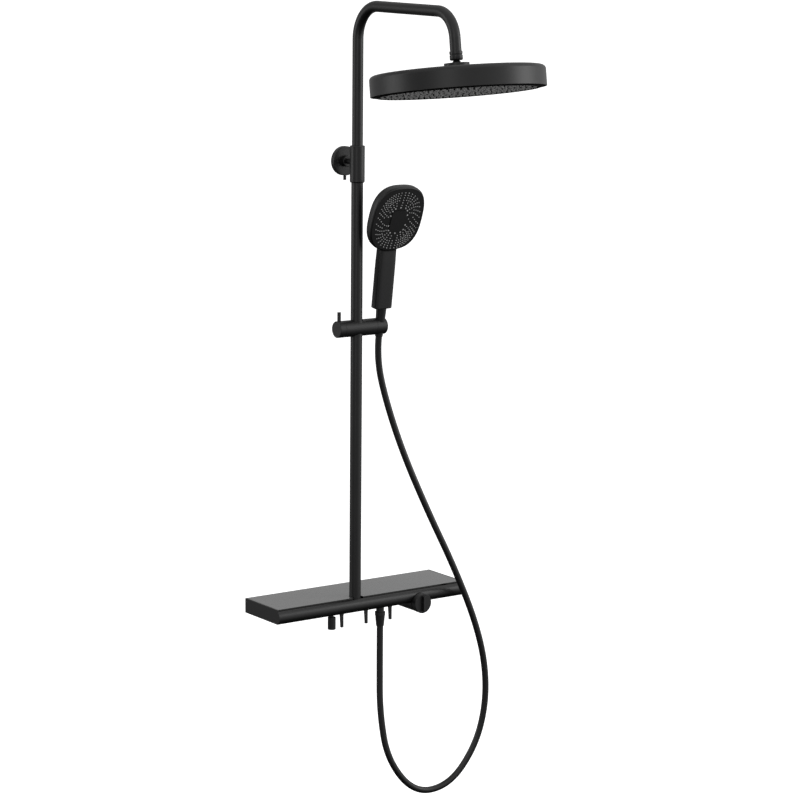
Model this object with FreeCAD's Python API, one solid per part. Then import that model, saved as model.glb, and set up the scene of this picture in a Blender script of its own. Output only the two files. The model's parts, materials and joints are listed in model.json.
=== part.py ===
import FreeCAD, Part
import math
import os

os.makedirs("parts", exist_ok=True)

V = FreeCAD.Vector

# Rainfall shower column, in millimetres.
# X runs along the wall, +Z is up and -Y points out of the wall into the room.
# The origin is on the wall, midway between the hot and the cold inlet.

# ---- driving dimensions -------------------------------------------------------------
RUNNING = 0.05              # radial clearance of pins, stems and tubes that move in a bore
GAP = 0.5                   # gap between separate bodies that pass each other

COLUMN_Y = -118.0           # riser axis, measured from the wall
SHELF_TOP = 23.5
SHELF_BOTTOM = -8.5
SHELF_LEFT = -210.0
SHELF_RIGHT = 283.0
SHELF_BACK = -2.0
SHELF_FRONT = -130.0        # front edge of the glass
NOSE_FRONT = -141.0         # foremost line of the rounded front rail
NOSE_MIDDLE = 6.0
NOSE_TOP = 20.0
END_CAP = 3.0
WALL = 2.0
GLASS = 6.0
NOTCH_SLOT = 13.5           # half width of the glass notch round the riser

PLATE_X = (-150.0, 225.0)   # the two wall fixing plates behind the shelf
PLATE_HALF_WIDTH = 30.0
PLATE_FOOT = -6.0
PLATE_TOP = 15.0
PLATE_SCREW_X = 20.0
PLATE_HOLE_R = 2.75

INLET_X = 75.0              # the two inlets are 150 mm apart
UNION_LENGTH = 16.0
UNION_BACK = -20.0
UNION_ACROSS_FLATS = 26.0
UNION_BORE = 10.5           # radius of the G1/2 female thread, as a plain bore
UNION_SEAT = 7.0            # the nut's closed end to where the thread begins
TAIL_R = 6.4

LOWER_TUBE_R = 12.75
LOWER_TUBE_TOP = 1000.0
UPPER_TUBE_R = 11.75
TUBE_BORE_R = 10.75
UPPER_TUBE_FOOT = 850.0
SLEEVE_R = 16.0
SLEEVE_FOOT = 928.0
SLEEVE_HEAD = 1006.5
BRACKET_Z = 971.0
ROSETTE_R = 31.5
ROSETTE_BACK = -64.0
ROSETTE_FRONT = -75.0
ROSETTE_SCREW_X = 20.0
HUB_R = 12.0
HUB_FRONT = -83.0
BAR_R = 5.8
STUD_R = 4.0                # threaded end of the bar, screwed into the sleeve
ROSETTE_HOLE_R = 2.5
THUMB_THREAD_R = 2.5
THUMB_HEAD_R = 3.4
THUMB_HEAD = 9.0

ARM_HEIGHT = 1302.0         # riser axis to the corner where the arm leaves it
ARM_REACH = 337.6
ARM_SLOPE = 1.2             # degrees below level
DROP_TILT = 7.8             # the drop pipe leans outwards by this many degrees
BEND_AT_RISER = 70.0
BEND_AT_DROP = 60.0
NUT_FROM_CORNER = 78.0
NUT_LENGTH = 18.0
NUT_R = 13.4
BALL_FROM_CORNER = 88.0
BALL_R = 10.0
ARM_OUTLET_R = 8.0

HEAD_R = 178.0
HEAD_WALL = 34.0            # straight part of the head's side
HEAD_RIM = 42.0             # underside to the top of the rounded edge
HEAD_CROWN = 51.0           # underside to the flange seat
UNDERSIDE_FROM_CORNER = 158.9
FLANGE_R = 25.8

SLIDER_Z = 615.5
SLIDER_R = 18.0
SLIDER_LEFT = -36.5
SLIDER_RIGHT = 44.0
LOCK_LEFT = -52.0
HOLDER_RIGHT = 71.5
HOLDER_X = 58.0
HOLDER_Y = COLUMN_Y - 4.0
HANDSET_LEAN = 8.0          # the handset leans forward in its holder
FACE_LEAN = 13.0            # and its head leans this much further

CONE_FOOT = -22.0           # the hose cone, measured along the handset from the holder axis
CONE_TOP = 41.0
CONE_FOOT_R = 8.5
CONE_TOP_R = 11.4
GRIP_TOP = 165.0
GRIP_WIDTH = 43.5
GRIP_DEPTH = 23.0
FACE_CENTRE = 81.0          # end of the grip to the centre of the face
FACE_AHEAD = 13.6
FACE_HALF_WIDTH = 65.0
FACE_HALF_HEIGHT = 74.5
OUTLINE_RISE = 3.0          # the head's outline sits this much above the spray's centre
HEAD_THICK = 30.0
SQUARENESS = 2.7            # exponent of the head's rounded-square outline
OUTLINE_POINTS = 24
FACE_PLATE_THICK = 3.0
FACE_MAT_BACK = 5.5
BUTTON_HALF_WIDTH = 18.6
BUTTON_HALF_HEIGHT = 23.6
BUTTON_CORNER = 7.6
BUTTON_GAP = 0.4
BUTTON_PIN_R = 2.5
WATER_TUBE_R = 6.8
WATER_BORE_R = 4.5

VALVE_X = 158.0
VALVE_Z = -7.5
VALVE_R = 21.5
VALVE_BACK = -40.0
VALVE_FRONT = -139.0
KNOB_R = 22.0
KNOB_BACK = -142.5
KNOB_FRONT = -154.5

DIVERTER_X = -61.0
DIVERTER_R = 8.8
DIVERTER_TOP = -15.0
DIVERTER_FOOT = -42.3
DIVERTER_STEM_R = 4.0

OUTLET_X = 67.0
OUTLET_NECK_R = 8.8
OUTLET_NUT_TOP = -20.5
OUTLET_NUT_FOOT = -52.0
OUTLET_NUT_R = 11.5
OUTLET_THREAD = 9.0
OUTLET_THREAD_R = 7.4

HOOK_X = (-31.6, 32.7, 97.0)
HOOK_Y = -113.0
HOOK_FOOT = -43.3
HOOK_SCREW_R = 1.6

HOSE_R = 7.25
# The hose's route, chosen by hand: out of the cone in the slider, round in a long loose
# loop in front of the shelf, and straight up into the outlet under the shelf.
HOSE_ROUTE = [
    (58.0, -118.89, 593.4),
    (58.0, -111.9, 543.9),
    (80.0, -114.0, 452.0),
    (118.0, -129.0, 330.0),
    (174.0, -149.0, 194.0),
    (231.0, -163.0, 75.0),
    (287.0, -171.0, -54.0),
    (318.0, -173.0, -162.0),
    (324.0, -169.0, -264.0),
    (301.0, -161.0, -359.0),
    (238.0, -152.0, -439.0),
    (149.0, -143.0, -446.0),
    (80.0, -133.0, -360.0),
    (64.0, -124.0, -249.0),
    (67.0, -118.0, -140.0),
    (67.0, -118.0, -52.0),
]


# ---- helpers ------------------------------------------------------------------------
def box(x1, x2, y1, y2, z1, z2):
    return Part.makeBox(x2 - x1, y2 - y1, z2 - z1, V(x1, y1, z1))


def rod(radius, foot, direction, length):
    return Part.makeCylinder(radius, length, foot, direction)


def rod_z(radius, x, y, z1, z2):
    return rod(radius, V(x, y, z1), V(0, 0, 1), z2 - z1)


def rod_y(radius, x, z, y1, y2):
    return rod(radius, V(x, y1, z), V(0, 1, 0), y2 - y1)


def rod_x(radius, y, z, x1, x2):
    return rod(radius, V(x1, y, z), V(1, 0, 0), x2 - x1)


def ring_z(outer, inner, x, y, z1, z2):
    return rod_z(outer, x, y, z1, z2).cut(rod_z(inner, x, y, z1 - 1, z2 + 1))


def hexagon_z(across_flats, height):
    corner = across_flats / math.sqrt(3)
    points = []
    for k in range(7):
        turn = math.radians(60 * k)
        points.append(V(corner * math.cos(turn), corner * math.sin(turn), 0))
    return Part.Face(Part.makePolygon(points)).extrude(V(0, 0, height))


def turned(profile):
    """A solid of revolution about Z from (radius, height) points."""
    points = [V(r, 0, h) for r, h in profile]
    face = Part.Face(Part.makePolygon(points + points[:1]))
    return face.revolve(V(0, 0, 0), V(0, 0, 1), 360)


def placed(shape, origin, axis=None, degrees=0.0):
    moved = shape.copy()
    if axis is not None:
        moved.rotate(V(0, 0, 0), axis, degrees)
    moved.translate(origin)
    return moved


def rounded_corner(before, corner, after, radius):
    """The two tangent points and the middle of an arc that rounds a corner."""
    back = before.sub(corner)
    ahead = after.sub(corner)
    back.normalize()
    ahead.normalize()
    half = back.getAngle(ahead) / 2
    reach = radius / math.tan(half)
    inward = back.add(ahead)
    inward.normalize()
    centre = corner.add(inward * (radius / math.sin(half)))
    start = corner.add(back * reach)
    end = corner.add(ahead * reach)
    middle = centre.sub(inward * radius)
    return start, middle, end


def round_path(points, radii):
    """Straight runs joined by tangent arcs, one radius for each inner point."""
    edges = []
    here = points[0]
    for k, radius in enumerate(radii, start=1):
        start, middle, end = rounded_corner(points[k - 1], points[k], points[k + 1], radius)
        if here.distanceToPoint(start) > 0.01:
            edges.append(Part.LineSegment(here, start).toShape())
        edges.append(Part.Arc(start, middle, end).toShape())
        here = end
    edges.append(Part.LineSegment(here, points[-1]).toShape())
    return Part.Wire(edges)


def swept(path, start, direction, radius):
    circle = Part.Wire(Part.makeCircle(radius, start, direction))
    return path.makePipeShell([circle], True, True)


def oval_wire(half_width, half_height, y, middle=0.0):
    """A rounded-square outline in the XZ plane, as one closed smooth curve."""
    points = []
    for k in range(OUTLINE_POINTS):
        turn = 2 * math.pi * k / OUTLINE_POINTS
        c = math.cos(turn)
        s = math.sin(turn)
        x = half_width * math.copysign(abs(c) ** (2 / SQUARENESS), c)
        z = half_height * math.copysign(abs(s) ** (2 / SQUARENESS), s)
        points.append(V(x, y, middle + z))
    curve = Part.BSplineCurve()
    curve.interpolate(points, PeriodicFlag=True)
    return Part.Wire(curve.toShape())


def block_with_round_edges(width, depth, z1, z2, radius):
    block = box(-width / 2, width / 2, -depth / 2, depth / 2, z1, z2)
    upright = [e for e in block.Edges if abs(e.tangentAt(e.FirstParameter).z) > 0.99]
    return block.makeFillet(radius, upright)


parts = {}


# ---- shelf --------------------------------------------------------------------------
def shelf_section(inset, top):
    """Closed outline of the shelf across X, shrunk by inset, up to the given top."""
    back = SHELF_BACK - inset
    foot = SHELF_BOTTOM + inset
    rail_back = SHELF_FRONT - 1.5 - inset
    nose_top = NOSE_TOP - inset
    corners = [
        V(0, rail_back, foot),
        V(0, back, foot),
        V(0, back, top),
        V(0, rail_back, top),
    ]
    edges = []
    for a, b in zip(corners[:-1], corners[1:]):
        edges.append(Part.LineSegment(a, b).toShape())
    if abs(nose_top - top) > 0.01:
        edges.append(Part.LineSegment(corners[-1], V(0, rail_back, nose_top)).toShape())
    nose = Part.Arc(V(0, rail_back, nose_top), V(0, NOSE_FRONT + inset, NOSE_MIDDLE), corners[0])
    edges.append(nose.toShape())
    return Part.Face(Part.Wire(edges))


def make_shelf():
    inner_left = SHELF_LEFT + END_CAP
    inner_right = SHELF_RIGHT - END_CAP
    seat = SHELF_TOP - GLASS
    inlet_half = 17.0
    outlet_stem_r = 6.3
    diverter_stem_r = 4.4
    hook_hole_r = 2.1
    outer = shelf_section(0, seat).extrude(V(inner_right - inner_left, 0, 0))
    hollow = shelf_section(WALL, seat - WALL).extrude(V(inner_right - inner_left + 2, 0, 0))
    outer.translate(V(inner_left, 0, 0))
    hollow.translate(V(inner_left - 1, 0, 0))
    housing = outer.cut(hollow)
    riser_hole = rod_z(LOWER_TUBE_R + 0.2, 0, COLUMN_Y, seat - 5, seat + 10)
    valve_bore = rod_y(VALVE_R + 0.3, VALVE_X, VALVE_Z, VALVE_BACK - 110, VALVE_BACK + 1)
    outlet_hole = rod_z(outlet_stem_r, OUTLET_X, COLUMN_Y, SHELF_BOTTOM - 1, SHELF_BOTTOM + 5)
    stem_hole = rod_z(diverter_stem_r, DIVERTER_X, COLUMN_Y, SHELF_BOTTOM - 1, SHELF_BOTTOM + 5)
    cuts = [riser_hole, valve_bore, outlet_hole, stem_hole]
    for x in (-INLET_X, INLET_X):
        cuts.append(box(x - inlet_half, x + inlet_half, SHELF_BACK - 18, SHELF_BACK + 1, -20, seat - WALL))
    for x in HOOK_X:
        cuts.append(rod_z(hook_hole_r, x, HOOK_Y, SHELF_BOTTOM - 1, SHELF_BOTTOM + 5))
    parts["shelf_housing"] = housing.cut(cuts)

    glass = box(inner_left + 0.3, inner_right - 0.3, SHELF_FRONT, SHELF_BACK, seat, SHELF_TOP)
    notch = rod_z(NOTCH_SLOT, 0, COLUMN_Y, seat - 1, SHELF_TOP + 1)
    mouth = box(-NOTCH_SLOT, NOTCH_SLOT, SHELF_FRONT - 1, COLUMN_Y, seat - 1, SHELF_TOP + 1)
    parts["glass_shelf"] = glass.cut([notch, mouth])

    cap = shelf_section(0, SHELF_TOP).extrude(V(END_CAP, 0, 0))
    parts["left_end_cap"] = placed(cap, V(SHELF_LEFT, 0, 0))
    parts["right_end_cap"] = placed(cap, V(SHELF_RIGHT - END_CAP, 0, 0))

    brackets = []
    for x in PLATE_X:
        plate = box(x - PLATE_HALF_WIDTH, x + PLATE_HALF_WIDTH, SHELF_BACK, 0, PLATE_FOOT, PLATE_TOP)
        for side in (-PLATE_SCREW_X, PLATE_SCREW_X):
            plate = plate.cut(rod_y(PLATE_HOLE_R, x + side, (PLATE_FOOT + PLATE_TOP) / 2, -5, 5))
        brackets.append(plate)
    parts["wall_fixing_plates"] = Part.makeCompound(brackets)


def make_hooks():
    top = SHELF_BOTTOM
    flare = 9.0
    thickness = 5.0
    thread_depth = 10.0
    screw_head_r = 3.6
    screw_head = 2.4
    left = -4.4
    foot_left = -2.0
    right = 3.4
    flare_right = 11.0
    hooks = []
    screws = []
    for x in HOOK_X:
        outline = [
            Part.LineSegment(V(x + left, 0, top), V(x + foot_left, 0, HOOK_FOOT)).toShape(),
            Part.LineSegment(V(x + foot_left, 0, HOOK_FOOT), V(x + right, 0, HOOK_FOOT)).toShape(),
            Part.LineSegment(V(x + right, 0, HOOK_FOOT), V(x + right, 0, top - flare)).toShape(),
            Part.Arc(V(x + right, 0, top - flare), V(x + 5.6, 0, top - 3.6),
                     V(x + flare_right, 0, top - 1)).toShape(),
            Part.LineSegment(V(x + flare_right, 0, top - 1), V(x + flare_right, 0, top)).toShape(),
            Part.LineSegment(V(x + flare_right, 0, top), V(x + left, 0, top)).toShape(),
        ]
        peg = Part.Face(Part.Wire(outline)).extrude(V(0, thickness, 0))
        peg.translate(V(0, HOOK_Y - thickness / 2, 0))
        peg = peg.cut(rod_z(HOOK_SCREW_R, x, HOOK_Y, top - thread_depth, top + 1))
        hooks.append(peg)
        shank = rod_z(HOOK_SCREW_R, x, HOOK_Y, top - thread_depth, top + WALL)
        screws.append(shank.fuse(rod_z(screw_head_r, x, HOOK_Y, top + WALL, top + WALL + screw_head)))
    parts["robe_hooks"] = Part.makeCompound(hooks)
    parts["hook_screws"] = Part.makeCompound(screws)


# ---- water inside the shelf ---------------------------------------------------------
def make_waterway():
    core_y = -62.0
    core_half = 13.0
    core_foot = -6.0
    core_top = 14.0
    washer_r = UNION_BORE - 0.7
    washer_hole_r = 4.5
    bar = box(-98, 128, core_y - core_half, core_y + core_half, core_foot, core_top)
    pieces = []
    bores = [rod_x(5.5, core_y, 4, -90, 120)]
    for x in (-INLET_X, INLET_X):
        pieces.append(rod_y(TAIL_R, x, 0, -60, UNION_BACK + 4))
        pieces.append(rod_y(washer_r, x, 0, UNION_BACK + 2, UNION_BACK + 5))
        bores.append(rod_y(washer_hole_r, x, 0, core_y, UNION_BACK + 6))
    branches = {0.0: 13.0, OUTLET_X: 10.0, DIVERTER_X: 10.0}
    for x, half in branches.items():
        pieces.append(box(x - half, x + half, COLUMN_Y - 4, core_y - 10, core_foot, 2))
        bores.append(rod_y(3.2, x, -2, COLUMN_Y, core_y))
    for x in (OUTLET_X, DIVERTER_X):
        pieces.append(rod_z(10.0, x, COLUMN_Y, core_foot, 12))
    link = box(120, 140, core_y - core_half, core_y + core_half, core_foot, core_top)
    body = bar.fuse(pieces + [link]).removeSplitter()
    bores.append(rod_z(DIVERTER_STEM_R + RUNNING, DIVERTER_X, COLUMN_Y, -7, 9))
    bores.append(rod_z(6.0, OUTLET_X, COLUMN_Y, -7, 6))
    bores.append(rod_z(4.5, 0, COLUMN_Y + 8, -3, 3))
    bores.append(rod_y(VALVE_R + 0.01, VALVE_X, VALVE_Z, -150, -30))
    parts["water_manifold"] = body.cut(bores)

    for side, x in (("hot", -INLET_X), ("cold", INLET_X)):
        nut = hexagon_z(UNION_ACROSS_FLATS, UNION_LENGTH)
        nut = nut.cut(Part.makeCylinder(UNION_BORE, UNION_LENGTH, V(0, 0, UNION_SEAT)))
        nut = nut.cut(Part.makeCylinder(UNION_BORE - 0.6, UNION_LENGTH, V(0, 0, 2.0)))
        nut = nut.cut(Part.makeCylinder(TAIL_R + 0.1, 5, V(0, 0, -1)))
        nut = placed(nut, V(x, UNION_BACK, 0), V(1, 0, 0), -90)
        parts[side + "_union_nut"] = nut
        seat = UNION_BACK + UNION_SEAT
        washer = rod_y(washer_r, x, 0, seat - 2, seat)
        parts[side + "_filter_washer"] = washer.cut(rod_y(washer_hole_r, x, 0, seat - 3, seat + 1))

    seal_foot = 7.0
    seal_top = 9.4
    seal_r = LOWER_TUBE_R + 2.0
    socket = ring_z(LOWER_TUBE_R + 3.5, LOWER_TUBE_R, 0, COLUMN_Y, 2, SHELF_TOP - GLASS - WALL)
    groove = ring_z(seal_r, LOWER_TUBE_R - 1, 0, COLUMN_Y, seal_foot, seal_top)
    parts["riser_socket"] = socket.cut(groove)
    parts["riser_seal_ring"] = ring_z(seal_r, LOWER_TUBE_R, 0, COLUMN_Y, seal_foot, seal_top)

    upper = rod_z(6.0, OUTLET_X, COLUMN_Y, SHELF_BOTTOM, 6)
    neck = rod_z(OUTLET_NECK_R, OUTLET_X, COLUMN_Y, OUTLET_NUT_TOP, SHELF_BOTTOM)
    thread_foot = OUTLET_NUT_TOP - OUTLET_THREAD
    thread = rod_z(OUTLET_THREAD_R, OUTLET_X, COLUMN_Y, thread_foot, OUTLET_NUT_TOP)
    nipple = upper.fuse([neck, thread])
    parts["hose_outlet_nipple"] = nipple.cut(rod_z(3.6, OUTLET_X, COLUMN_Y, -40, 7))


def make_outlet_nut():
    collar = OUTLET_NUT_TOP - 7.0
    bore = 3.4
    foot_r = 8.7
    profile = [
        (OUTLET_THREAD_R, OUTLET_NUT_TOP),
        (OUTLET_NUT_R, OUTLET_NUT_TOP),
        (OUTLET_NUT_R, collar),
        (OUTLET_NUT_R - 0.6, collar - 0.8),
        (foot_r, OUTLET_NUT_FOOT),
        (bore, OUTLET_NUT_FOOT),
        (bore, OUTLET_NUT_TOP - OUTLET_THREAD),
        (OUTLET_THREAD_R, OUTLET_NUT_TOP - OUTLET_THREAD),
    ]
    parts["outlet_hose_nut"] = placed(turned(profile), V(OUTLET_X, COLUMN_Y, 0))


# ---- mixer and diverter -------------------------------------------------------------
def make_mixer():
    cartridge_r = 17.0
    cartridge_back = -97.0
    cartridge_front = -131.0
    stem_r = 4.0
    grub_r = 1.5
    grub_y = KNOB_BACK - 4
    body = rod_y(VALVE_R, VALVE_X, VALVE_Z, VALVE_FRONT, VALVE_BACK)
    body = body.cut(rod_y(cartridge_r, VALVE_X, VALVE_Z, VALVE_FRONT - 1, cartridge_back))
    parts["mixer_body"] = body.cut(rod_y(6.0, VALVE_X, VALVE_Z, cartridge_back - 1, VALVE_BACK - 6))

    cartridge = rod_y(cartridge_r, VALVE_X, VALVE_Z, cartridge_front, cartridge_back)
    cartridge = cartridge.cut(rod_y(stem_r + RUNNING, VALVE_X, VALVE_Z, cartridge_front - 1, -110))
    parts["mixing_cartridge"] = cartridge
    ring = rod_y(cartridge_r, VALVE_X, VALVE_Z, VALVE_FRONT, cartridge_front)
    parts["cartridge_ring_nut"] = ring.cut(rod_y(9.0, VALVE_X, VALVE_Z, -140, -130))

    parts["cartridge_stem"] = rod_y(stem_r, VALVE_X, VALVE_Z, KNOB_FRONT + 5, -110.5)

    knob = rod_y(KNOB_R, VALVE_X, VALVE_Z, KNOB_FRONT, KNOB_BACK)
    rim = [e for e in knob.Edges if isinstance(e.Curve, Part.Circle) and e.CenterOfMass.y < KNOB_FRONT + 1]
    knob = knob.makeFillet(1.2, rim)
    fin = box(VALVE_X - 3, VALVE_X + 3, KNOB_FRONT - 7, KNOB_FRONT + 1, VALVE_Z - 17, VALVE_Z + 17)
    knob = knob.fuse(fin)
    knob = knob.cut(rod_y(stem_r, VALVE_X, VALVE_Z, KNOB_FRONT + 5, KNOB_BACK + 1))
    knob = knob.cut(rod_z(grub_r, VALVE_X, grub_y, VALVE_Z - 30, VALVE_Z - stem_r))
    parts["mixer_knob"] = knob
    parts["knob_grub_screw"] = rod_z(grub_r, VALVE_X, grub_y, VALVE_Z - 12, VALVE_Z - stem_r)


def make_diverter():
    stem = rod_z(DIVERTER_STEM_R, DIVERTER_X, COLUMN_Y, DIVERTER_TOP - 12, 0)
    knob = rod_z(DIVERTER_R, DIVERTER_X, COLUMN_Y, DIVERTER_FOOT, DIVERTER_TOP)
    ends = [e for e in knob.Edges if isinstance(e.Curve, Part.Circle)]
    knob = knob.makeFillet(1.0, ends)
    parts["diverter_knob"] = knob.cut(stem)
    parts["diverter_stem"] = stem


# ---- riser and wall bracket ---------------------------------------------------------
def make_riser():
    bore = UPPER_TUBE_R + RUNNING
    parts["lower_riser_tube"] = ring_z(LOWER_TUBE_R, bore, 0, COLUMN_Y, 2, LOWER_TUBE_TOP)
    sleeve = turned([
        (LOWER_TUBE_R, SLEEVE_FOOT),
        (SLEEVE_R - 1.5, SLEEVE_FOOT),
        (SLEEVE_R, SLEEVE_FOOT + 2.5),
        (SLEEVE_R, SLEEVE_HEAD - 1),
        (SLEEVE_R - 1, SLEEVE_HEAD),
        (bore, SLEEVE_HEAD),
        (bore, LOWER_TUBE_TOP),
        (LOWER_TUBE_R, LOWER_TUBE_TOP),
    ])
    sleeve = placed(sleeve, V(0, COLUMN_Y, 0))
    bar_hole = rod_y(STUD_R, 0, BRACKET_Z, COLUMN_Y + LOWER_TUBE_R, COLUMN_Y + 30)
    parts["riser_sleeve"] = sleeve.cut(bar_hole)

    seat = UPPER_TUBE_FOOT - RUNNING
    bush_bore = 7.5
    bush_foot = seat - 14
    bush = ring_z(UPPER_TUBE_R, bush_bore, 0, COLUMN_Y, bush_foot, seat)
    spigot = ring_z(TUBE_BORE_R - RUNNING, bush_bore, 0, COLUMN_Y, bush_foot, seat + 12)
    parts["riser_guide_bush"] = bush.fuse(spigot).removeSplitter()


def make_bracket():
    bar = rod_y(BAR_R, 0, BRACKET_Z, COLUMN_Y + SLEEVE_R - 0.6, ROSETTE_BACK - 1)
    seat = rod_z(SLEEVE_R, 0, COLUMN_Y, BRACKET_Z - 20, BRACKET_Z + 20)
    stud = rod_y(STUD_R, 0, BRACKET_Z, COLUMN_Y + LOWER_TUBE_R + 0.1, ROSETTE_BACK - 10)
    parts["bracket_bar"] = bar.cut(seat).fuse(stud).removeSplitter()

    disc = rod_y(ROSETTE_R, 0, BRACKET_Z, ROSETTE_FRONT, ROSETTE_BACK)
    rim = [e for e in disc.Edges if isinstance(e.Curve, Part.Circle) and e.CenterOfMass.y < ROSETTE_FRONT + 1]
    disc = disc.makeFillet(1.6, rim)
    hub = rod_y(HUB_R, 0, BRACKET_Z, HUB_FRONT, ROSETTE_FRONT + 1)
    rim = [e for e in hub.Edges if isinstance(e.Curve, Part.Circle) and e.CenterOfMass.y < HUB_FRONT + 1]
    hub = hub.makeFillet(1.2, rim)
    rosette = disc.fuse(hub)
    rosette = rosette.cut(rod_y(BAR_R + RUNNING, 0, BRACKET_Z, HUB_FRONT - 1, ROSETTE_BACK + 1))
    screw_y = ROSETTE_FRONT + 4.5
    thread_top = BRACKET_Z - BAR_R - 0.3
    head_top = BRACKET_Z - ROSETTE_R - 0.5
    thread = rod_z(THUMB_THREAD_R, 0, screw_y, head_top, thread_top)
    rosette = rosette.cut(rod_z(THUMB_THREAD_R, 0, screw_y, head_top - 0.5, thread_top + 1))
    for side in (-ROSETTE_SCREW_X, ROSETTE_SCREW_X):
        rosette = rosette.cut(rod_y(ROSETTE_HOLE_R, side, BRACKET_Z, ROSETTE_FRONT - 1, ROSETTE_BACK + 1))
    parts["wall_rosette"] = rosette
    grip = rod_z(THUMB_HEAD_R, 0, screw_y, head_top - THUMB_HEAD, head_top)
    parts["rosette_thumb_screw"] = thread.fuse(grip).removeSplitter()


# ---- arm ----------------------------------------------------------------------------
def arm_direction():
    slope = math.radians(ARM_SLOPE)
    return V(0, -math.cos(slope), -math.sin(slope))


def drop_direction():
    tilt = math.radians(DROP_TILT)
    return V(0, -math.sin(tilt), -math.cos(tilt))


RISER_CORNER = V(0, COLUMN_Y, ARM_HEIGHT)
DROP_CORNER = RISER_CORNER.add(arm_direction() * ARM_REACH)


def on_drop_axis(shape, from_corner):
    """Stands a shape made about +Z on the drop pipe's axis; its +Z looks back up the pipe."""
    return placed(shape, DROP_CORNER.add(drop_direction() * from_corner), V(1, 0, 0), -DROP_TILT)


def make_arm():
    foot = V(0, COLUMN_Y, UPPER_TUBE_FOOT)
    tip = DROP_CORNER.add(drop_direction() * (NUT_FROM_CORNER - 1))
    path = round_path([foot, RISER_CORNER, DROP_CORNER, tip], [BEND_AT_RISER, BEND_AT_DROP])
    outer = swept(path, foot, V(0, 0, 1), UPPER_TUBE_R)
    inner = swept(path, foot, V(0, 0, 1), TUBE_BORE_R)
    parts["shower_arm"] = outer.cut(inner)

    length = NUT_LENGTH
    ball_above_foot = NUT_FROM_CORNER + length - BALL_FROM_CORNER
    lip = ball_above_foot - 4.3
    bore = BALL_R + 0.15
    chamfer = 1.0
    groove_foot = 10.5
    groove_top = 13.0
    groove_depth = 1.2
    web = 4.0
    nut = turned([
        (11.0, 0),
        (NUT_R - chamfer, 0),
        (NUT_R, chamfer),
        (NUT_R, groove_foot),
        (NUT_R - groove_depth, groove_foot + 0.5),
        (NUT_R - groove_depth, groove_top - 0.5),
        (NUT_R, groove_top),
        (NUT_R, length - chamfer),
        (NUT_R - chamfer, length),
        (ARM_OUTLET_R, length),
        (ARM_OUTLET_R, length - web),
        (bore, length - web),
        (bore, lip),
        (9.2, lip),
    ])
    parts["arm_socket_nut"] = on_drop_axis(nut, NUT_FROM_CORNER + length)
    depth = 14.0
    ferrule = turned([(ARM_OUTLET_R, 0), (UPPER_TUBE_R, 0), (UPPER_TUBE_R, 1), (TUBE_BORE_R, 1),
                      (TUBE_BORE_R, depth), (ARM_OUTLET_R, depth)])
    parts["arm_ferrule"] = on_drop_axis(ferrule, NUT_FROM_CORNER)


def make_ball_seat():
    """The plastic ring above the ball, on which the head turns."""
    height = 5.9
    foot = NUT_FROM_CORNER + 4 + RUNNING + height
    ring = rod_z(BALL_R + RUNNING, 0, 0, 0, height)
    ring = ring.cut(rod_z(4.5, 0, 0, -1, height + 1))
    ball = Part.makeSphere(BALL_R + RUNNING, V(0, 0, foot - BALL_FROM_CORNER))
    parts["ball_seat_ring"] = on_drop_axis(ring.cut(ball), foot)


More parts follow.
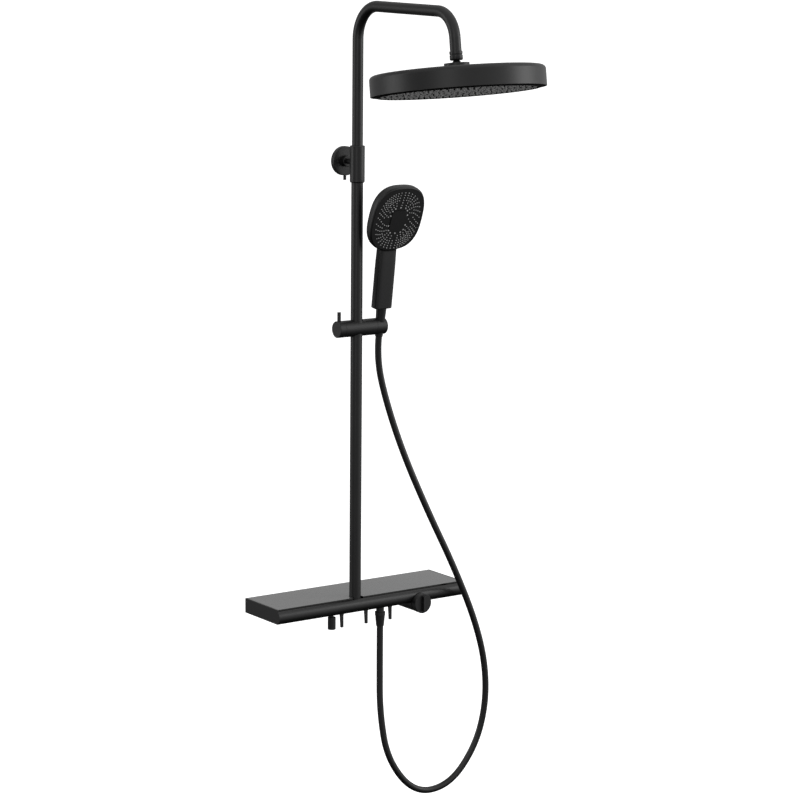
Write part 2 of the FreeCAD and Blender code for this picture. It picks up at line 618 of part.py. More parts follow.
def make_head():
    crown = HEAD_CROWN
    flange_top = UNDERSIDE_FROM_CORNER - 101.6
    centre = UNDERSIDE_FROM_CORNER - BALL_FROM_CORNER

    neck = turned([(0, centre), (6.2, centre), (6.2, centre - 8), (8, centre - 11), (10, flange_top),
                   (FLANGE_R, flange_top), (FLANGE_R, crown), (7.5, crown), (7.5, crown - 8),
                   (5.0, crown - 8), (0, crown - 8)])
    ball = Part.makeSphere(BALL_R, V(0, 0, centre))
    water = rod_z(4.0, 0, 0, crown - 9, centre + 12)
    parts["swivel_ball_flange"] = on_drop_axis(neck.fuse(ball).cut(water), UNDERSIDE_FROM_CORNER)

    thick = 2.2
    edge = HEAD_R - 11
    screw_r = 7.6
    shell_edges = [
        Part.LineSegment(V(screw_r, 0, crown), V(edge, 0, HEAD_RIM)).toShape(),
        Part.Arc(V(edge, 0, HEAD_RIM), V(HEAD_R - 3, 0, HEAD_WALL + 5.6), V(HEAD_R, 0, HEAD_WALL)).toShape(),
        Part.LineSegment(V(HEAD_R, 0, HEAD_WALL), V(HEAD_R, 0, 0)).toShape(),
        Part.LineSegment(V(HEAD_R, 0, 0), V(HEAD_R - thick, 0, 0)).toShape(),
        Part.LineSegment(V(HEAD_R - thick, 0, 0), V(HEAD_R - thick, 0, HEAD_WALL - 1)).toShape(),
        Part.Arc(V(HEAD_R - thick, 0, HEAD_WALL - 1), V(HEAD_R - 5, 0, HEAD_WALL + 4),
                 V(edge, 0, HEAD_RIM - thick)).toShape(),
        Part.LineSegment(V(edge, 0, HEAD_RIM - thick), V(screw_r, 0, crown - thick)).toShape(),
        Part.LineSegment(V(screw_r, 0, crown - thick), V(screw_r, 0, crown)).toShape(),
    ]
    shell = Part.Face(Part.Wire(shell_edges)).revolve(V(0, 0, 0), V(0, 0, 1), 360)
    parts["head_shell"] = on_drop_axis(shell, UNDERSIDE_FROM_CORNER)

    plate_foot = 1.2
    plate_top = 4.2
    mat_top = 6.7
    mat_r = HEAD_R - 9
    roof = 14.0
    roof_top = 17.0
    pipe_top = crown - 12.2
    plate = rod_z(HEAD_R - thick, 0, 0, plate_foot, plate_top)
    parts["head_face_plate"] = on_drop_axis(plate, UNDERSIDE_FROM_CORNER)
    mat = rod_z(mat_r, 0, 0, plate_top, mat_top)
    parts["head_nozzle_mat"] = on_drop_axis(mat, UNDERSIDE_FROM_CORNER)
    chamber = turned([(0, roof), (mat_r - 3, roof), (mat_r - 3, mat_top), (mat_r, mat_top),
                      (mat_r, roof_top), (9, roof_top), (9, pipe_top), (5, pipe_top),
                      (5, roof_top), (0, roof_top)])
    parts["head_water_chamber"] = on_drop_axis(chamber, UNDERSIDE_FROM_CORNER)
    seal = turned([(4.2, crown - 12), (7.4, crown - 12), (7.4, crown - 8.1), (4.2, crown - 8.1)])
    parts["head_inlet_washer"] = on_drop_axis(seal, UNDERSIDE_FROM_CORNER)


# ---- slider -------------------------------------------------------------------------
def handset_piece(shape, lean=HANDSET_LEAN, rise=0.0):
    """Puts a shape made upright about the cone's axis where the handset sits."""
    moved = shape.copy()
    moved.translate(V(0, 0, rise))
    moved.rotate(V(0, 0, 0), V(1, 0, 0), lean)
    moved.translate(V(HOLDER_X, HOLDER_Y, SLIDER_Z))
    return moved


def cone_solid(z1, z2, extra=0.0):
    slope = (CONE_TOP_R - CONE_FOOT_R) / (CONE_TOP - CONE_FOOT)
    r1 = CONE_FOOT_R + slope * (z1 - CONE_FOOT) + extra
    r2 = CONE_FOOT_R + slope * (z2 - CONE_FOOT) + extra
    return Part.makeCone(r1, r2, z2 - z1, V(0, 0, z1), V(0, 0, 1))


def make_slider():
    liner_r = LOWER_TUBE_R + 1.2
    liner_half = 16.0
    pivot_r = 6.0
    screw_r = 5.0
    lever_x = -45.0
    lever_stem_r = 2.0
    lever_r = 4.0
    body = rod_x(SLIDER_R, COLUMN_Y, SLIDER_Z, SLIDER_LEFT, SLIDER_RIGHT)
    body = body.cut(rod_z(liner_r, 0, COLUMN_Y, SLIDER_Z - 30, SLIDER_Z + 30))
    body = body.cut(rod_x(pivot_r + RUNNING, COLUMN_Y, SLIDER_Z, 22, SLIDER_RIGHT + 1))
    body = body.cut(rod_x(screw_r + RUNNING, COLUMN_Y, SLIDER_Z, SLIDER_LEFT - 1, -12))
    parts["slider_body"] = body
    liner = ring_z(liner_r, LOWER_TUBE_R + RUNNING, 0, COLUMN_Y, SLIDER_Z - liner_half, SLIDER_Z + liner_half)
    parts["slider_liner"] = liner

    knob = rod_x(SLIDER_R, COLUMN_Y, SLIDER_Z, LOCK_LEFT, SLIDER_LEFT - GAP)
    rim = [e for e in knob.Edges if isinstance(e.Curve, Part.Circle) and e.CenterOfMass.x < LOCK_LEFT + 1]
    knob = knob.makeFillet(1.5, rim)
    screw = rod_x(screw_r, COLUMN_Y, SLIDER_Z, LOCK_LEFT + 6, -liner_r - 0.6)
    lever_hole = rod_z(lever_stem_r, lever_x, COLUMN_Y, SLIDER_Z + 8, SLIDER_Z + 30)
    parts["lock_knob"] = knob.cut([screw, lever_hole])
    parts["lock_screw"] = screw
    lever = rod_z(lever_stem_r, lever_x, COLUMN_Y, SLIDER_Z + 8, SLIDER_Z + SLIDER_R)
    lever = lever.fuse(rod_z(lever_r, lever_x, COLUMN_Y, SLIDER_Z + SLIDER_R, SLIDER_Z + 37).cut(
        rod_x(SLIDER_R, COLUMN_Y, SLIDER_Z, LOCK_LEFT, SLIDER_LEFT)))
    parts["lock_lever"] = lever.removeSplitter()

    holder = rod_x(SLIDER_R, COLUMN_Y, SLIDER_Z, SLIDER_RIGHT + GAP, HOLDER_RIGHT)
    rim = [e for e in holder.Edges if isinstance(e.Curve, Part.Circle) and e.CenterOfMass.x > HOLDER_RIGHT - 1]
    holder = holder.makeFillet(2.0, rim)
    holder = holder.cut(handset_piece(cone_solid(-30, 30, 0.15)))
    pivot = rod_x(pivot_r, COLUMN_Y, SLIDER_Z, 22.5, SLIDER_RIGHT + 2.5)
    parts["handset_holder"] = holder.cut(pivot)
    parts["holder_pivot"] = pivot


# ---- handset ------------------------------------------------------------------------
def face_piece(shape):
    """Places a shape made about the face's centre, +Y looking back, on the leaning head."""
    moved = shape.copy()
    moved.translate(V(0, -FACE_AHEAD, FACE_CENTRE))
    moved.rotate(V(0, 0, 0), V(1, 0, 0), FACE_LEAN)
    return handset_piece(moved, HANDSET_LEAN, GRIP_TOP)


def head_solid(inset):
    """The head's outer form, from the face back to a smaller rounded back."""
    stations = [(0.0, 0.955), (4.0, 1.0), (14.0, 0.99), (22.0, 0.955), (HEAD_THICK, 0.80)]
    wires = []
    for depth, scale in stations:
        y = depth
        if depth == HEAD_THICK:
            y = depth - inset
        half_width = FACE_HALF_WIDTH * scale - inset
        half_height = FACE_HALF_HEIGHT * scale - inset
        wires.append(oval_wire(half_width, half_height, y, OUTLINE_RISE))
    return Part.makeLoft(wires, True, True)


def button_block(gap, front):
    """The spray button's rounded oblong, grown by a gap, from its front to 4 mm behind the face."""
    half_width = BUTTON_HALF_WIDTH + gap
    half_height = BUTTON_HALF_HEIGHT + gap
    block = box(-half_width, half_width, front, 4.0, -half_height, half_height)
    corners = [e for e in block.Edges if abs(e.tangentAt(e.FirstParameter).y) > 0.99]
    return block.makeFillet(BUTTON_CORNER + gap, corners)


def make_handset():
    head = face_piece(head_solid(0.0))
    inner = face_piece(head_solid(2.4))
    grip = handset_piece(block_with_round_edges(GRIP_WIDTH, GRIP_DEPTH, CONE_TOP, GRIP_TOP + 26, 7.0))
    channel = handset_piece(rod_z(WATER_TUBE_R + 0.2, 0, 0, CONE_TOP - 1, GRIP_TOP + 20))
    front_cut = face_piece(box(-100, 100, -30, FACE_PLATE_THICK, 1 - FACE_HALF_HEIGHT, 100))
    shell = head.fuse(grip).cut([inner, channel, front_cut])
    parts["handset_shell"] = shell.removeSplitter()

    plate_wire = oval_wire(FACE_HALF_WIDTH - 3.0, FACE_HALF_HEIGHT - 3.0, 0.0, OUTLINE_RISE)
    plate = Part.Face(plate_wire).extrude(V(0, FACE_PLATE_THICK, 0))
    opening = button_block(BUTTON_GAP, -1.0)
    parts["handset_face_plate"] = face_piece(plate.cut(opening))
    mat_wire = oval_wire(FACE_HALF_WIDTH - 5.0, FACE_HALF_HEIGHT - 5.0, FACE_PLATE_THICK, OUTLINE_RISE)
    mat = Part.Face(mat_wire).extrude(V(0, FACE_MAT_BACK - FACE_PLATE_THICK, 0))
    mat = mat.cut(box(-21, 21, 2, 8, -26, 26))
    parts["handset_nozzle_mat"] = face_piece(mat)

    button = button_block(0.0, -1.4).fuse(rod_y(BUTTON_PIN_R, 0, 0, 4.0, 12.0))
    parts["spray_button"] = face_piece(button)

    valve = rod_y(16.0, 0, 0, 9.0, 20.0).cut(rod_y(BUTTON_PIN_R + RUNNING, 0, 0, 8.0, 16.0))
    parts["spray_selector"] = face_piece(valve)
    spring = rod_y(5.0, 0, 0, 4.0, 9.0).cut(rod_y(3.4, 0, 0, 3.0, 10.0))
    parts["button_spring"] = face_piece(spring)

    tube = rod_z(WATER_TUBE_R, 0, 0, CONE_TOP + 0.5, GRIP_TOP + 8)
    tube = tube.cut(rod_z(WATER_BORE_R, 0, 0, 0, GRIP_TOP + 9))
    parts["handset_water_tube"] = handset_piece(tube)
    cone = cone_solid(CONE_FOOT, CONE_TOP)
    cone = cone.cut(rod_z(WATER_BORE_R, 0, 0, CONE_FOOT - 1, CONE_TOP + 1))
    parts["hose_cone_nut"] = handset_piece(cone)


# ---- hose ---------------------------------------------------------------------------
def make_hose():
    points = [V(*p) for p in HOSE_ROUTE]
    radii = []
    for before, corner, after in zip(points[:-2], points[1:-1], points[2:]):
        run_in = corner.sub(before)
        run_out = after.sub(corner)
        turn = run_in.getAngle(run_out)
        radii.append(0.45 * min(run_in.Length, run_out.Length) / math.tan(turn / 2))
    path = round_path(points, radii)
    hose = swept(path, points[0], points[1].sub(points[0]), HOSE_R)
    print("hose radii", [round(r) for r in radii])
    print("hose length", round(path.Length, 1))
    print("volume against section x length", round(hose.Volume / (math.pi * HOSE_R ** 2 * path.Length), 4))
    parts["shower_hose"] = hose


make_shelf()
make_hooks()
make_waterway()
make_outlet_nut()
make_mixer()
make_diverter()
make_riser()
make_bracket()
make_arm()
make_ball_seat()
make_head()
make_slider()
make_handset()
make_hose()

for name, shape in parts.items():
    for solid in shape.Solids:
        if not solid.isValid() or solid.Volume <= 0:
            print("not a sound solid:", name)
    shape.exportStep("parts/" + name + ".step")
    print(name, len(shape.Solids), round(shape.Volume / 1000.0, 2), "cm3")
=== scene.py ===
import json
import math

import bmesh
import bpy
from mathutils import Matrix, Vector


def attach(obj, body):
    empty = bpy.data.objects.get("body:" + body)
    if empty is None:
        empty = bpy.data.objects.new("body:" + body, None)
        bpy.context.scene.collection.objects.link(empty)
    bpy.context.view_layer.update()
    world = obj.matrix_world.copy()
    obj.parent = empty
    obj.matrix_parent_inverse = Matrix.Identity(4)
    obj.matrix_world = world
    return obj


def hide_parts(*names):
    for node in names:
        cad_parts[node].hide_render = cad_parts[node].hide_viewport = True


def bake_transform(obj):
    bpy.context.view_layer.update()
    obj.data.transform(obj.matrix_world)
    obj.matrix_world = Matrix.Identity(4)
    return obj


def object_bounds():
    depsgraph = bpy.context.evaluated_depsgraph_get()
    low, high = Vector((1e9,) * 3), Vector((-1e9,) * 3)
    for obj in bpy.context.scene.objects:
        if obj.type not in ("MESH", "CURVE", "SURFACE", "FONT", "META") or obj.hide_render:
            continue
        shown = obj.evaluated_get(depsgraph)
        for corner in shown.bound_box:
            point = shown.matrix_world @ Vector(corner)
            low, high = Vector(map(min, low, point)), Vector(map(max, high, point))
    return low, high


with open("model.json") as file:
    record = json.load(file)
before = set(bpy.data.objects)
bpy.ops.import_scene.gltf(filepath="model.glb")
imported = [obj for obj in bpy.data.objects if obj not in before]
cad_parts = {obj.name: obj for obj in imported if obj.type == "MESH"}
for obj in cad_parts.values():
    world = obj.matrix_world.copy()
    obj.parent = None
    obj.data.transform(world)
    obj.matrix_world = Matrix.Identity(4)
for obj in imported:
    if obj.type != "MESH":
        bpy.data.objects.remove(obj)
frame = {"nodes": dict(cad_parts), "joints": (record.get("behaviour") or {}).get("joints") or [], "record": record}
cad_low, cad_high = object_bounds()
nodes = frame["nodes"]
joints = {j["name"]: j for j in frame["joints"]}

# ---- dimensions, in metres and degrees ----------------------------------------------
HOLDER = Vector((0.058, -0.122, 0.6155))    # where the handset's axis meets the holder
HANDSET_LEAN = 8.0                          # the handset leans forward in its holder
FACE_LEAN = 13.0                            # and its head leans this much further
CONE_TOP = 0.041                            # heights along the handset from the holder
GRIP_TOP = 0.165
GRIP_WIDTH = 0.0435
GRIP_DEPTH = 0.023
GRIP_SQUARENESS = 5.5
FACE_CENTRE = 0.081                         # end of the grip to the centre of the face
FACE_AHEAD = 0.0136
FACE_HALF_WIDTH = 0.065
FACE_HALF_HEIGHT = 0.0745
OUTLINE_RISE = 0.003                        # the outline sits above the spray's centre
OUTLINE_SQUARENESS = 2.7

SPRAY_ROWS = 42
SPRAY_STEPS = 7
SPRAY_INNER = (0.0220, 0.0300)              # half width and half height of the innermost ring
SPRAY_OUTER = (0.0536, 0.0652)
INNER_JET_RADIUS = 0.0019
JET_RADIUS = 0.0013
JET_HEIGHT = 0.0012

FACE_PLATE_BELOW_BALL = 0.0697              # ball centre to the rain head's lower face
RAIN_JETS_BELOW_PLATE = 0.0012
RAIN_RINGS = 13
RAIN_FIELD_RADIUS = 0.156
RAIN_JET_RADIUS = 0.0021
RAIN_JET_HEIGHT = 0.0026
RAIN_LIP = [                                # radius, and distance down the axis from the jets' level
    (0.1600, -0.001),
    (0.1604, 0.0018),
    (0.1614, 0.0026),
    (0.1650, 0.0026),
    (0.1672, 0.0014),
    (0.1680, -0.001),
]
BALL_NUT = [                                # radius, and distance down the axis from the ball
    (0.0113, -0.0100),
    (0.0128, -0.0100),
    (0.0134, -0.0094),
    (0.0134, -0.0046),
    (0.0128, -0.0040),
    (0.0122, -0.0038),
    (0.0122, -0.0026),
    (0.0128, -0.0024),
    (0.0134, -0.0018),
    (0.0134, 0.0056),
    (0.0129, 0.0070),
    (0.0118, 0.0080),
    (0.0104, 0.0080),
]

HOSE_DIAMETER = 0.0145
HOSE_ROUTE = [
    (0.058, -0.11889, 0.5934),
    (0.058, -0.1119, 0.5439),
    (0.080, -0.114, 0.452),
    (0.118, -0.129, 0.330),
    (0.174, -0.149, 0.194),
    (0.231, -0.163, 0.075),
    (0.287, -0.171, -0.054),
    (0.318, -0.173, -0.162),
    (0.324, -0.169, -0.264),
    (0.301, -0.161, -0.359),
    (0.238, -0.152, -0.439),
    (0.149, -0.143, -0.446),
    (0.080, -0.133, -0.360),
    (0.064, -0.124, -0.249),
    (0.067, -0.118, -0.140),
    (0.067, -0.118, -0.052),
]
TOP_END_LENGTH = 0.070                      # the hose's top end, which lifts with the handset
TOP_END_PLAY = 0.0002

CAMERA_AZIMUTH = -35.27
CAMERA_ELEVATION = 9.68
CAMERA_ROLL = 0.47
CAMERA_DISTANCE = 5.68
CAMERA_LENS = 119.0
SENSOR_WIDTH = 36.0
FAR_CLIP = 2000.0
COLUMN_MIDDLE = Vector((0.0, -0.118, 0.6235))
AIM_RIGHT = 0.0935
AIM_UP = -0.1628
FLOOR_HALF_SIZE = 400.0
FLOOR_DROP = 0.12                           # the floor lies this far below the hose's loop


# ---- helpers ------------------------------------------------------------------------
def new_object(name, mesh):
    obj = bpy.data.objects.new(name, mesh)
    bpy.context.scene.collection.objects.link(obj)
    return obj


def mesh_object(name, bm, smooth=True):
    bmesh.ops.recalc_face_normals(bm, faces=bm.faces[:])
    for face in bm.faces:
        face.smooth = smooth
    mesh = bpy.data.meshes.new(name)
    bm.to_mesh(mesh)
    bm.free()
    return new_object(name, mesh)


def finish_piece(obj, body, material):
    obj.data.materials.clear()
    obj.data.materials.append(material)
    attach(obj, body)


def turn_x(degrees):
    return Matrix.Rotation(math.radians(degrees), 4, "X")


GRIP_FRAME = Matrix.Translation(HOLDER) @ turn_x(HANDSET_LEAN)
HEAD_FRAME = GRIP_FRAME @ Matrix.Translation((0, 0, GRIP_TOP)) @ turn_x(FACE_LEAN)
FACE_FRAME = HEAD_FRAME @ Matrix.Translation((0, -FACE_AHEAD, FACE_CENTRE))


def smooth_shaded(obj):
    for polygon in obj.data.polygons:
        polygon.use_smooth = True


def circle(sides):
    """The turns of a circle's points."""
    return [2 * math.pi * k / sides for k in range(sides)]


def rounded(half_width, half_height, squareness, turn):
    """A point of a superellipse: 2 is an ellipse, and larger numbers are squarer."""
    c = math.cos(turn)
    s = math.sin(turn)
    x = half_width * math.copysign(abs(c) ** (2 / squareness), c)
    z = half_height * math.copysign(abs(s) ** (2 / squareness), s)
    return x, z


def mesh_of(obj, name):
    """The object's final mesh, with its modifiers or bevel; the object itself is removed."""
    depsgraph = bpy.context.evaluated_depsgraph_get()
    mesh = bpy.data.meshes.new_from_object(obj.evaluated_get(depsgraph))
    mesh.name = name
    bpy.data.objects.remove(obj)
    return mesh


def loft(bm, rings, matrix):
    """Quads between rings of equal length, with one face over each end."""
    rows = [[bm.verts.new(matrix @ Vector(p)) for p in ring] for ring in rings]
    count = len(rows[0])
    for low, high in zip(rows[:-1], rows[1:]):
        for k in range(count):
            n = (k + 1) % count
            bm.faces.new((low[k], low[n], high[n], high[k]))
    bm.faces.new(rows[0][::-1])
    bm.faces.new(rows[-1])


# ---- materials ----------------------------------------------------------------------
GRAIN_DEPTH = 0.0002
DARK_COAT = (0.0045, 0.0045, 0.0048)
LIGHT_COAT = (0.0072, 0.0072, 0.0076)
# near-black painted shade for the glass's edges, in place of the shadowed gap along the front rail
GLASS_EDGE_SHADE = (0.003, 0.003, 0.003, 1)
GLASS_SIDE_UP = 0.75                        # upward share of the normal where the painted edge shade ends
GLASS_TOP_UP = 0.97


def bare_material(name):
    material = bpy.data.materials.new(name)
    material.use_nodes = True
    tree = material.node_tree
    shader = tree.nodes["Principled BSDF"]
    return material, tree, shader


def add_noise(tree, scale, detail=3.0):
    coords = tree.nodes.new("ShaderNodeTexCoord")
    noise = tree.nodes.new("ShaderNodeTexNoise")
    noise.inputs["Scale"].default_value = scale
    noise.inputs["Detail"].default_value = detail
    tree.links.new(coords.outputs["Object"], noise.inputs["Vector"])
    return noise


def ramp_between(tree, source, low, high):
    ramp = tree.nodes.new("ShaderNodeMapRange")
    ramp.inputs["To Min"].default_value = low
    ramp.inputs["To Max"].default_value = high
    tree.links.new(source, ramp.inputs["Value"])
    return ramp.outputs["Result"]


def colour_between(tree, source, dark, light):
    mix = tree.nodes.new("ShaderNodeMix")
    mix.data_type = "RGBA"
    mix.inputs[6].default_value = (*dark, 1)
    mix.inputs[7].default_value = (*light, 1)
    tree.links.new(source, mix.inputs[0])
    return mix.outputs[2]


def bump_from(tree, source, shader, strength):
    bump = tree.nodes.new("ShaderNodeBump")
    bump.inputs["Strength"].default_value = strength
    bump.inputs["Distance"].default_value = GRAIN_DEPTH
    tree.links.new(source, bump.inputs["Height"])
    tree.links.new(bump.outputs["Normal"], shader.inputs["Normal"])


def coated(name, rough, grain_scale, grain, dark=DARK_COAT, light=LIGHT_COAT, specular=0.4):
    """Satin black coating: faint tone drift, fine orange peel and uneven gloss."""
    material, tree, shader = bare_material(name)
    drift = add_noise(tree, 9.0)
    grain_noise = add_noise(tree, grain_scale, 2.0)
    colour = colour_between(tree, drift.outputs["Fac"], dark, light)
    tree.links.new(colour, shader.inputs["Base Color"])
    gloss = ramp_between(tree, drift.outputs["Fac"], rough - 0.04, rough + 0.05)
    tree.links.new(gloss, shader.inputs["Roughness"])
    shader.inputs["Specular IOR Level"].default_value = specular
    bump_from(tree, grain_noise.outputs["Fac"], shader, grain)
    return material


def glass_material():
    """Grey painted underside seen through the flat top; the edges carry near-black painted shade that stands in
    for the shadowed gap along the front rail.
    """
    material, tree, shader = bare_material("smoked_glass")
    cloud = add_noise(tree, 5.0)
    top = colour_between(tree, cloud.outputs["Fac"], (0.078,) * 3, (0.086, 0.087, 0.088))
    geometry = tree.nodes.new("ShaderNodeNewGeometry")
    parts = tree.nodes.new("ShaderNodeSeparateXYZ")
    tree.links.new(geometry.outputs["Normal"], parts.inputs["Vector"])
    # painted shade: surfaces that face up less get the near-black edge colour
    edge_shade_fade = tree.nodes.new("ShaderNodeMapRange")
    edge_shade_fade.inputs["From Min"].default_value = GLASS_SIDE_UP
    edge_shade_fade.inputs["From Max"].default_value = GLASS_TOP_UP
    tree.links.new(parts.outputs["Z"], edge_shade_fade.inputs["Value"])
    mix = tree.nodes.new("ShaderNodeMix")
    mix.data_type = "RGBA"
    mix.inputs[6].default_value = GLASS_EDGE_SHADE
    tree.links.new(top, mix.inputs[7])
    tree.links.new(edge_shade_fade.outputs["Result"], mix.inputs[0])
    tree.links.new(mix.outputs[2], shader.inputs["Base Color"])
    gloss = ramp_between(tree, cloud.outputs["Fac"], 0.14, 0.20)
    tree.links.new(gloss, shader.inputs["Roughness"])
    return material


def plain_material(name, dark, light, rough_low, rough_high, scale, metallic=0.0):
    """One finish whose tone and gloss both drift a little over the surface."""
    material, tree, shader = bare_material(name)
    cloud = add_noise(tree, scale)
    colour = colour_between(tree, cloud.outputs["Fac"], dark, light)
    tree.links.new(colour, shader.inputs["Base Color"])
    gloss = ramp_between(tree, cloud.outputs["Fac"], rough_low, rough_high)
    tree.links.new(gloss, shader.inputs["Roughness"])
    shader.inputs["Metallic"].default_value = metallic
    bump_from(tree, cloud.outputs["Fac"], shader, 0.08)
    return material


def make_materials():
    """Every finish by its slot's name, and the rain face's own duller black."""
    coats = {
        "satin_black_metal": (0.40, 1400.0, 0.10),
        "satin_black_plastic": (0.44, 2200.0, 0.08),
        "satin_black_rail": (0.36, 1800.0, 0.06),
        "black_head_plastic": (0.42, 2000.0, 0.08),
        "black_face": (0.46, 3000.0, 0.06),
        "spray_face": (0.85, 3000.0, 0.10, DARK_COAT, LIGHT_COAT, 0.04),
        "black_hose": (0.38, 900.0, 0.05),
        "seal_rubber": (0.70, 1500.0, 0.2, (0.012,) * 3, (0.018,) * 3),
    }
    plains = {
        "nozzle_silicone": ((0.34,) * 3, (0.46,) * 3, 0.55, 0.7, 300.0),
        "white_plastic": ((0.60,) * 3, (0.70,) * 3, 0.40, 0.50, 60.0),
        "brass": ((0.52, 0.36, 0.13), (0.70, 0.50, 0.22), 0.25, 0.4, 500.0, 1.0),
        "steel": ((0.40, 0.40, 0.41), (0.56, 0.56, 0.57), 0.25, 0.4, 500.0, 1.0),
    }
    made = {"smoked_glass": glass_material()}
    for name, values in coats.items():
        made[name] = coated(name, *values)
    for name, values in plains.items():
        made[name] = plain_material(name, *values)
    return made


materials = make_materials()
slots = {s["node"]: s["material_slot"] for s in frame["record"]["subparts"]}
node_finish = {"head_face_plate": "spray_face"}


def dress_cad_nodes():
    for name, obj in nodes.items():
        obj.data.materials.clear()
        obj.data.materials.append(materials[node_finish.get(name, slots[name])])


# ---- camera, floor and light --------------------------------------------------------
def make_camera():
    azimuth = math.radians(CAMERA_AZIMUTH)
    elevation = math.radians(CAMERA_ELEVATION)
    roll = math.radians(CAMERA_ROLL)
    back = Vector((
        math.sin(azimuth) * math.cos(elevation),
        -math.cos(azimuth) * math.cos(elevation),
        math.sin(elevation),
    ))
    level_right = Vector((math.cos(azimuth), math.sin(azimuth), 0))
    level_up = back.cross(level_right)
    right = level_right * math.cos(roll) + level_up * math.sin(roll)
    up = level_up * math.cos(roll) - level_right * math.sin(roll)
    place = COLUMN_MIDDLE + right * AIM_RIGHT + up * AIM_UP + back * CAMERA_DISTANCE
    turn = Matrix((right, up, back)).transposed().to_4x4()
    data = bpy.data.cameras.new("camera")
    data.lens = CAMERA_LENS
    data.sensor_width = SENSOR_WIDTH
    data.clip_end = FAR_CLIP
    camera = new_object("camera", data)
    camera.matrix_world = Matrix.Translation(place) @ turn
    bpy.context.scene.camera = camera


def make_stage():
    """A wide white floor that the object's surfaces neither mirror nor gather light from."""
    bm = bmesh.new()
    bmesh.ops.create_grid(bm, x_segments=2, y_segments=2, size=FLOOR_HALF_SIZE)
    floor = mesh_object("floor", bm, smooth=False)
    floor.location.z = cad_low.z - FLOOR_DROP
    floor.visible_diffuse = False
    floor.visible_glossy = False
    material, tree, shader = bare_material("floor_white")
    cloud = add_noise(tree, 0.2)
    colour = colour_between(tree, cloud.outputs["Fac"], (0.93,) * 3, (0.95,) * 3)
    tree.links.new(colour, shader.inputs["Base Color"])
    shader.inputs["Roughness"].default_value = 0.9
    shader.inputs["Specular IOR Level"].default_value = 0.0
    shader.inputs["Emission Color"].default_value = (1, 1, 1, 1)
    shader.inputs["Emission Strength"].default_value = 0.5
    floor.data.materials.append(material)


def area_light(name, place, aim, width, height, power):
    """A rectangular panel that looks from its place towards its aim."""
    data = bpy.data.lights.new(name, "AREA")
    data.shape = "RECTANGLE"
    data.size = width
    data.size_y = height
    data.energy = power
    light = new_object(name, data)
    light.location = place
    light.rotation_mode = "QUATERNION"
    light.rotation_quaternion = (Vector(aim) - Vector(place)).to_track_quat("-Z", "Y")


def studio_world():
    """White to the camera; as light, nearly dark from below, brighter from the front and right."""
    world = bpy.data.worlds.new("studio")
    bpy.context.scene.world = world
    world.use_nodes = True
    tree = world.node_tree
    background = tree.nodes["Background"]
    background.inputs["Color"].default_value = (1, 1, 1, 1)
    coords = tree.nodes.new("ShaderNodeTexCoord")
    parts = tree.nodes.new("ShaderNodeSeparateXYZ")
    tree.links.new(coords.outputs["Generated"], parts.inputs["Vector"])

    def multiplied(first, second):
        product = tree.nodes.new("ShaderNodeMath")
        product.operation = "MULTIPLY"
        tree.links.new(first, product.inputs[0])
        tree.links.new(second, product.inputs[1])
        return product.outputs[0]

    def graded(source, low, high, dim, bright):
        grade = tree.nodes.new("ShaderNodeMapRange")
        grade.interpolation_type = "SMOOTHSTEP"
        grade.inputs["From Min"].default_value = low
        grade.inputs["From Max"].default_value = high
        grade.inputs["To Min"].default_value = dim
        grade.inputs["To Max"].default_value = bright
        tree.links.new(source, grade.inputs["Value"])
        return grade.outputs["Result"]

    upward = graded(parts.outputs["Z"], -0.75, 0.0, 0.01, 0.66)
    wallward = graded(parts.outputs["Y"], -0.3, 0.9, 1.0, 0.72)
    rightward = graded(parts.outputs["X"], -0.9, 0.8, 0.60, 1.25)
    strength = multiplied(multiplied(upward, wallward), rightward)
    seen = tree.nodes.new("ShaderNodeLightPath")
    mix = tree.nodes.new("ShaderNodeMix")
    mix.inputs[3].default_value = 1.0
    tree.links.new(seen.outputs["Is Camera Ray"], mix.inputs[0])
    tree.links.new(strength, mix.inputs[2])
    tree.links.new(mix.outputs[0], background.inputs["Strength"])


def make_light():
    bpy.context.scene.view_settings.view_transform = "Standard"
    studio_world()
    sun = bpy.data.lights.new("sky_panel", "SUN")
    sun.energy = 0.8
    sun.angle = math.radians(120)
    sun_object = new_object("sky_panel", sun)
    sun_object.rotation_euler = (math.radians(20), 0, math.radians(-30))
    area_light("left_panel", (-2.6, -2.6, 1.4), (0, -0.2, 0.6), 0.9, 3.0, 16)
    area_light("right_panel", (2.8, -2.3, 1.5), (0, -0.3, 0.8), 1.8, 2.4, 42)
    area_light("back_left_panel", (-2.9, 1.6, 1.2), (0, -0.3, 0.7), 1.6, 2.6, 30)


# ---- hose ---------------------------------------------------------------------------
def hose_spline(bevel):
    """The hose's one smooth line, as thick as its bevel."""
    curve = bpy.data.curves.new("hose_line", "CURVE")
    curve.dimensions = "3D"
    spline = curve.splines.new("NURBS")
    spline.points.add(len(HOSE_ROUTE) - 1)
    for point, place in zip(spline.points, HOSE_ROUTE):
        point.co = (*place, 1.0)
    spline.order_u = 3
    spline.use_endpoint_u = True
    spline.resolution_u = 24
    curve.bevel_depth = bevel
    curve.bevel_resolution = 8
    curve.use_fill_caps = True
    return new_object("hose_line", curve)


def tube_along(name, points, radius, sides=24):
    """A closed tube of one radius about a line of points."""
    bm = bmesh.new()
    rings = []
    turns = circle(sides)
    side = Vector((1, 0, 0))
    last = len(points) - 1
    for k, point in enumerate(points):
        ahead = (points[min(k + 1, last)] - points[max(k - 1, 0)]).normalized()
        side = (side - ahead * side.dot(ahead)).normalized()
        other = ahead.cross(side)
        rings.append([point + radius * (side * math.cos(t) + other * math.sin(t)) for t in turns])
    loft(bm, rings, Matrix.Identity(4))
    return mesh_object(name, bm)


